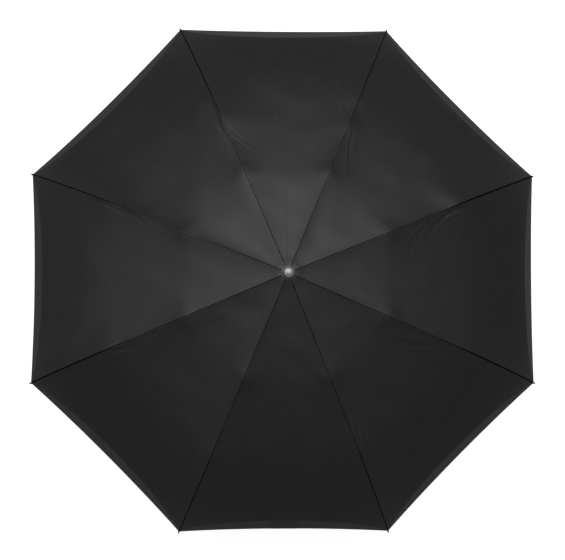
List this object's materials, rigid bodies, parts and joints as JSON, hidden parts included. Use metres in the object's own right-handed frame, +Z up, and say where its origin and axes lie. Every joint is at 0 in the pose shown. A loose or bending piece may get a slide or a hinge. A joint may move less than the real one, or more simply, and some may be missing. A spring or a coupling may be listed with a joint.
{
  "type": "folding umbrella",
  "caption": "Open compact umbrella: sewn octagonal cloth canopy on a three-fold steel rib frame, with a telescoping shaft, sliding runner and short rubber-coated handle.",
  "frame": {"origin": "middle of the flat end of the handle", "axes": "+Z up the shaft towards the finial; +Y and +X towards the middles of two hems; the thumb button and the closing strap are on the -Y side"},
  "size_m": [0.9362, 0.9362, 0.5625],
  "materials": {
    "cloth": "matt woven polyester, water repellent",
    "painted_steel": "black painted pressed steel",
    "zinc_steel": "zinc plated steel",
    "spring_steel": "bright spring steel",
    "nylon": "moulded nylon, fine satin",
    "rubber": "soft touch coating",
    "nickel": "nickel plated zinc casting"
  },
  "bodies": {
    "handle": {"handle_grip": "rubber", "handle_end_cap": "nylon", "handle_collar": "nickel", "lower_tube": "zinc_steel"},
    "middle_shaft": {"middle_tube": "zinc_steel"},
    "top_shaft": {"top_tube": "zinc_steel", "runner_catch": "spring_steel", "crown": "nylon", "crown_ring_wire": "zinc_steel", "cap_washer": "nylon", "finial_ring": "nickel", "finial_dome": "nickel", "canopy": "cloth"},
    "top_rib_1": {"top_rib_1": "painted_steel"},
    "stretcher_1": {"stretcher_1": "painted_steel"},
    "control_link_1": {"control_link_1": "zinc_steel"},
    "middle_rib_1": {"middle_rib_1": "painted_steel"},
    "outer_rib_1": {"outer_rib_1": "zinc_steel"},
    "top_rib_2": {"top_rib_2": "painted_steel"},
    "stretcher_2": {"stretcher_2": "painted_steel"},
    "control_link_2": {"control_link_2": "zinc_steel"},
    "middle_rib_2": {"middle_rib_2": "painted_steel"},
    "outer_rib_2": {"outer_rib_2": "zinc_steel"},
    "top_rib_3": {"top_rib_3": "painted_steel"},
    "stretcher_3": {"stretcher_3": "painted_steel"},
    "control_link_3": {"control_link_3": "zinc_steel"},
    "middle_rib_3": {"middle_rib_3": "painted_steel"},
    "outer_rib_3": {"outer_rib_3": "zinc_steel"},
    "top_rib_4": {"top_rib_4": "painted_steel"},
    "stretcher_4": {"stretcher_4": "painted_steel"},
    "control_link_4": {"control_link_4": "zinc_steel"},
    "middle_rib_4": {"middle_rib_4": "painted_steel"},
    "outer_rib_4": {"outer_rib_4": "zinc_steel"},
    "top_rib_5": {"top_rib_5": "painted_steel"},
    "stretcher_5": {"stretcher_5": "painted_steel"},
    "control_link_5": {"control_link_5": "zinc_steel"},
    "middle_rib_5": {"middle_rib_5": "painted_steel"},
    "outer_rib_5": {"outer_rib_5": "zinc_steel"},
    "top_rib_6": {"top_rib_6": "painted_steel"},
    "stretcher_6": {"stretcher_6": "painted_steel"},
    "control_link_6": {"control_link_6": "zinc_steel"},
    "middle_rib_6": {"middle_rib_6": "painted_steel"},
    "outer_rib_6": {"outer_rib_6": "zinc_steel"},
    "top_rib_7": {"top_rib_7": "painted_steel"},
    "stretcher_7": {"stretcher_7": "painted_steel"},
    "control_link_7": {"control_link_7": "zinc_steel"},
    "middle_rib_7": {"middle_rib_7": "painted_steel"},
    "outer_rib_7": {"outer_rib_7": "zinc_steel", "closing_strap": "cloth", "snap_cap": "nickel", "snap_socket": "nickel"},
    "top_rib_8": {"top_rib_8": "painted_steel"},
    "stretcher_8": {"stretcher_8": "painted_steel"},
    "control_link_8": {"control_link_8": "zinc_steel"},
    "middle_rib_8": {"middle_rib_8": "painted_steel"},
    "outer_rib_8": {"outer_rib_8": "zinc_steel"},
    "runner": {"runner": "nylon", "runner_ring_wire": "zinc_steel", "button_spring": "spring_steel"},
    "runner_button": {"runner_button": "nylon"}
  },
  "joints": [
    {"name": "shaft_slide", "type": "slide", "parent": "handle", "child": "middle_shaft", "axis": [0, 0, -1], "range_m": [0, 0.1175], "deforming": ["runner_catch"]},
    {"name": "top_tube_slide", "type": "slide", "parent": "middle_shaft", "child": "top_shaft", "axis": [0, 0, -1], "range_m": [0, 0.1175]},
    {"name": "frame_fold", "type": "hinge", "parent": "top_shaft", "child": "top_rib_1", "pos_m": [0.00831, 0.00344, 0.545], "axis": [-0.3827, 0.9239, 0], "range_deg": [0, 76], "deforming": ["canopy", "closing_strap", "snap_cap", "snap_socket"]},
    {"name": "stretcher_1_turn", "type": "hinge", "parent": "top_rib_1", "child": "stretcher_1", "pos_m": [0.10154, 0.04206, 0.51984], "axis": [-0.3827, 0.9239, 0], "range_deg": [-152, 0]},
    {"name": "control_link_1_turn", "type": "hinge", "parent": "stretcher_1", "child": "control_link_1", "pos_m": [0.09508, 0.03938, 0.51984], "axis": [-0.3827, 0.9239, 0], "range_deg": [0, 152]},
    {"name": "middle_rib_1_fold", "type": "hinge", "parent": "top_rib_1", "child": "middle_rib_1", "pos_m": [0.18375, 0.07611, 0.50054], "axis": [-0.3827, 0.9239, 0], "range_deg": [-184, 0]},
    {"name": "outer_rib_1_fold", "type": "hinge", "parent": "middle_rib_1", "child": "outer_rib_1", "pos_m": [0.32276, 0.13369, 0.44598], "axis": [-0.3827, 0.9239, 0], "range_deg": [0, 161]},
    {"name": "top_rib_2_fold", "type": "hinge", "parent": "top_shaft", "child": "top_rib_2", "pos_m": [0.00344, 0.00831, 0.545], "axis": [-0.9239, 0.3827, 0], "range_deg": [0, 76]},
    {"name": "stretcher_2_turn", "type": "hinge", "parent": "top_rib_2", "child": "stretcher_2", "pos_m": [0.04206, 0.10154, 0.51984], "axis": [-0.9239, 0.3827, 0], "range_deg": [-152, 0]},
    {"name": "control_link_2_turn", "type": "hinge", "parent": "stretcher_2", "child": "control_link_2", "pos_m": [0.03938, 0.09508, 0.51984], "axis": [-0.9239, 0.3827, 0], "range_deg": [0, 152]},
    {"name": "middle_rib_2_fold", "type": "hinge", "parent": "top_rib_2", "child": "middle_rib_2", "pos_m": [0.07611, 0.18375, 0.50054], "axis": [-0.9239, 0.3827, 0], "range_deg": [-184, 0]},
    {"name": "outer_rib_2_fold", "type": "hinge", "parent": "middle_rib_2", "child": "outer_rib_2", "pos_m": [0.13369, 0.32276, 0.44598], "axis": [-0.9239, 0.3827, 0], "range_deg": [0, 161]},
    {"name": "top_rib_3_fold", "type": "hinge", "parent": "top_shaft", "child": "top_rib_3", "pos_m": [-0.00344, 0.00831, 0.545], "axis": [-0.9239, -0.3827, 0], "range_deg": [0, 76]},
    {"name": "stretcher_3_turn", "type": "hinge", "parent": "top_rib_3", "child": "stretcher_3", "pos_m": [-0.04206, 0.10154, 0.51984], "axis": [-0.9239, -0.3827, 0], "range_deg": [-152, 0]},
    {"name": "control_link_3_turn", "type": "hinge", "parent": "stretcher_3", "child": "control_link_3", "pos_m": [-0.03938, 0.09508, 0.51984], "axis": [-0.9239, -0.3827, 0], "range_deg": [0, 152]},
    {"name": "middle_rib_3_fold", "type": "hinge", "parent": "top_rib_3", "child": "middle_rib_3", "pos_m": [-0.07611, 0.18375, 0.50054], "axis": [-0.9239, -0.3827, 0], "range_deg": [-184, 0]},
    {"name": "outer_rib_3_fold", "type": "hinge", "parent": "middle_rib_3", "child": "outer_rib_3", "pos_m": [-0.13369, 0.32276, 0.44598], "axis": [-0.9239, -0.3827, 0], "range_deg": [0, 161]},
    {"name": "top_rib_4_fold", "type": "hinge", "parent": "top_shaft", "child": "top_rib_4", "pos_m": [-0.00831, 0.00344, 0.545], "axis": [-0.3827, -0.9239, 0], "range_deg": [0, 76]},
    {"name": "stretcher_4_turn", "type": "hinge", "parent": "top_rib_4", "child": "stretcher_4", "pos_m": [-0.10154, 0.04206, 0.51984], "axis": [-0.3827, -0.9239, 0], "range_deg": [-152, 0]},
    {"name": "control_link_4_turn", "type": "hinge", "parent": "stretcher_4", "child": "control_link_4", "pos_m": [-0.09508, 0.03938, 0.51984], "axis": [-0.3827, -0.9239, 0], "range_deg": [0, 152]},
    {"name": "middle_rib_4_fold", "type": "hinge", "parent": "top_rib_4", "child": "middle_rib_4", "pos_m": [-0.18375, 0.07611, 0.50054], "axis": [-0.3827, -0.9239, 0], "range_deg": [-184, 0]},
    {"name": "outer_rib_4_fold", "type": "hinge", "parent": "middle_rib_4", "child": "outer_rib_4", "pos_m": [-0.32276, 0.13369, 0.44598], "axis": [-0.3827, -0.9239, 0], "range_deg": [0, 161]},
    {"name": "top_rib_5_fold", "type": "hinge", "parent": "top_shaft", "child": "top_rib_5", "pos_m": [-0.00831, -0.00344, 0.545], "axis": [0.3827, -0.9239, 0], "range_deg": [0, 76]},
    {"name": "stretcher_5_turn", "type": "hinge", "parent": "top_rib_5", "child": "stretcher_5", "pos_m": [-0.10154, -0.04206, 0.51984], "axis": [0.3827, -0.9239, 0], "range_deg": [-152, 0]},
    {"name": "control_link_5_turn", "type": "hinge", "parent": "stretcher_5", "child": "control_link_5", "pos_m": [-0.09508, -0.03938, 0.51984], "axis": [0.3827, -0.9239, 0], "range_deg": [0, 152]},
    {"name": "middle_rib_5_fold", "type": "hinge", "parent": "top_rib_5", "child": "middle_rib_5", "pos_m": [-0.18375, -0.07611, 0.50054], "axis": [0.3827, -0.9239, 0], "range_deg": [-184, 0]},
    {"name": "outer_rib_5_fold", "type": "hinge", "parent": "middle_rib_5", "child": "outer_rib_5", "pos_m": [-0.32276, -0.13369, 0.44598], "axis": [0.3827, -0.9239, 0], "range_deg": [0, 161]},
    {"name": "top_rib_6_fold", "type": "hinge", "parent": "top_shaft", "child": "top_rib_6", "pos_m": [-0.00344, -0.00831, 0.545], "axis": [0.9239, -0.3827, 0], "range_deg": [0, 76]},
    {"name": "stretcher_6_turn", "type": "hinge", "parent": "top_rib_6", "child": "stretcher_6", "pos_m": [-0.04206, -0.10154, 0.51984], "axis": [0.9239, -0.3827, 0], "range_deg": [-152, 0]},
    {"name": "control_link_6_turn", "type": "hinge", "parent": "stretcher_6", "child": "control_link_6", "pos_m": [-0.03938, -0.09508, 0.51984], "axis": [0.9239, -0.3827, 0], "range_deg": [0, 152]},
    {"name": "middle_rib_6_fold", "type": "hinge", "parent": "top_rib_6", "child": "middle_rib_6", "pos_m": [-0.07611, -0.18375, 0.50054], "axis": [0.9239, -0.3827, 0], "range_deg": [-184, 0]},
    {"name": "outer_rib_6_fold", "type": "hinge", "parent": "middle_rib_6", "child": "outer_rib_6", "pos_m": [-0.13369, -0.32276, 0.44598], "axis": [0.9239, -0.3827, 0], "range_deg": [0, 161]},
    {"name": "top_rib_7_fold", "type": "hinge", "parent": "top_shaft", "child": "top_rib_7", "pos_m": [0.00344, -0.00831, 0.545], "axis": [0.9239, 0.3827, 0], "range_deg": [0, 76]},
    {"name": "stretcher_7_turn", "type": "hinge", "parent": "top_rib_7", "child": "stretcher_7", "pos_m": [0.04206, -0.10154, 0.51984], "axis": [0.9239, 0.3827, 0], "range_deg": [-152, 0]},
    {"name": "control_link_7_turn", "type": "hinge", "parent": "stretcher_7", "child": "control_link_7", "pos_m": [0.03938, -0.09508, 0.51984], "axis": [0.9239, 0.3827, 0], "range_deg": [0, 152]},
    {"name": "middle_rib_7_fold", "type": "hinge", "parent": "top_rib_7", "child": "middle_rib_7", "pos_m": [0.07611, -0.18375, 0.50054], "axis": [0.9239, 0.3827, 0], "range_deg": [-184, 0]},
    {"name": "outer_rib_7_fold", "type": "hinge", "parent": "middle_rib_7", "child": "outer_rib_7", "pos_m": [0.13369, -0.32276, 0.44598], "axis": [0.9239, 0.3827, 0], "range_deg": [0, 161]},
    {"name": "top_rib_8_fold", "type": "hinge", "parent": "top_shaft", "child": "top_rib_8", "pos_m": [0.00831, -0.00344, 0.545], "axis": [0.3827, 0.9239, 0], "range_deg": [0, 76]},
    {"name": "stretcher_8_turn", "type": "hinge", "parent": "top_rib_8", "child": "stretcher_8", "pos_m": [0.10154, -0.04206, 0.51984], "axis": [0.3827, 0.9239, 0], "range_deg": [-152, 0]},
    {"name": "control_link_8_turn", "type": "hinge", "parent": "stretcher_8", "child": "control_link_8", "pos_m": [0.09508, -0.03938, 0.51984], "axis": [0.3827, 0.9239, 0], "range_deg": [0, 152]},
    {"name": "middle_rib_8_fold", "type": "hinge", "parent": "top_rib_8", "child": "middle_rib_8", "pos_m": [0.18375, -0.07611, 0.50054], "axis": [0.3827, 0.9239, 0], "range_deg": [-184, 0]},
    {"name": "outer_rib_8_fold", "type": "hinge", "parent": "middle_rib_8", "child": "outer_rib_8", "pos_m": [0.32276, -0.13369, 0.44598], "axis": [0.3827, 0.9239, 0], "range_deg": [0, 161]},
    {"name": "runner_carry", "type": "hinge", "parent": "stretcher_1", "child": "runner", "pos_m": [0.00831, 0.00344, 0.49468], "axis": [-0.3827, 0.9239, 0], "range_deg": [0, 76]},
    {"name": "button_press", "type": "slide", "parent": "runner", "child": "runner_button", "axis": [0, 1, 0], "range_m": [0, 0.0015], "stiffness_N_per_m": 400, "springref_m": -0.0005, "deforming": ["button_spring"]}
  ],
  "couplings": [
    {"joint": "top_tube_slide", "follows": "shaft_slide", "ratio": 1},
    {"joint": "stretcher_1_turn", "follows": "frame_fold", "ratio": -2},
    {"joint": "control_link_1_turn", "follows": "frame_fold", "ratio": 2},
    {"joint": "middle_rib_1_fold", "follows": "frame_fold", "ratio": -2.4211},
    {"joint": "outer_rib_1_fold", "follows": "frame_fold", "ratio": 2.1184},
    {"joint": "top_rib_2_fold", "follows": "frame_fold", "ratio": 1},
    {"joint": "stretcher_2_turn", "follows": "frame_fold", "ratio": -2},
    {"joint": "control_link_2_turn", "follows": "frame_fold", "ratio": 2},
    {"joint": "middle_rib_2_fold", "follows": "frame_fold", "ratio": -2.4211},
    {"joint": "outer_rib_2_fold", "follows": "frame_fold", "ratio": 2.1184},
    {"joint": "top_rib_3_fold", "follows": "frame_fold", "ratio": 1},
    {"joint": "stretcher_3_turn", "follows": "frame_fold", "ratio": -2},
    {"joint": "control_link_3_turn", "follows": "frame_fold", "ratio": 2},
    {"joint": "middle_rib_3_fold", "follows": "frame_fold", "ratio": -2.4211},
    {"joint": "outer_rib_3_fold", "follows": "frame_fold", "ratio": 2.1184},
    {"joint": "top_rib_4_fold", "follows": "frame_fold", "ratio": 1},
    {"joint": "stretcher_4_turn", "follows": "frame_fold", "ratio": -2},
    {"joint": "control_link_4_turn", "follows": "frame_fold", "ratio": 2},
    {"joint": "middle_rib_4_fold", "follows": "frame_fold", "ratio": -2.4211},
    {"joint": "outer_rib_4_fold", "follows": "frame_fold", "ratio": 2.1184},
    {"joint": "top_rib_5_fold", "follows": "frame_fold", "ratio": 1},
    {"joint": "stretcher_5_turn", "follows": "frame_fold", "ratio": -2},
    {"joint": "control_link_5_turn", "follows": "frame_fold", "ratio": 2},
    {"joint": "middle_rib_5_fold", "follows": "frame_fold", "ratio": -2.4211},
    {"joint": "outer_rib_5_fold", "follows": "frame_fold", "ratio": 2.1184},
    {"joint": "top_rib_6_fold", "follows": "frame_fold", "ratio": 1},
    {"joint": "stretcher_6_turn", "follows": "frame_fold", "ratio": -2},
    {"joint": "control_link_6_turn", "follows": "frame_fold", "ratio": 2},
    {"joint": "middle_rib_6_fold", "follows": "frame_fold", "ratio": -2.4211},
    {"joint": "outer_rib_6_fold", "follows": "frame_fold", "ratio": 2.1184},
    {"joint": "top_rib_7_fold", "follows": "frame_fold", "ratio": 1},
    {"joint": "stretcher_7_turn", "follows": "frame_fold", "ratio": -2},
    {"joint": "control_link_7_turn", "follows": "frame_fold", "ratio": 2},
    {"joint": "middle_rib_7_fold", "follows": "frame_fold", "ratio": -2.4211},
    {"joint": "outer_rib_7_fold", "follows": "frame_fold", "ratio": 2.1184},
    {"joint": "top_rib_8_fold", "follows": "frame_fold", "ratio": 1},
    {"joint": "stretcher_8_turn", "follows": "frame_fold", "ratio": -2},
    {"joint": "control_link_8_turn", "follows": "frame_fold", "ratio": 2},
    {"joint": "middle_rib_8_fold", "follows": "frame_fold", "ratio": -2.4211},
    {"joint": "outer_rib_8_fold", "follows": "frame_fold", "ratio": 2.1184},
    {"joint": "runner_carry", "follows": "frame_fold", "ratio": 1}
  ]
}
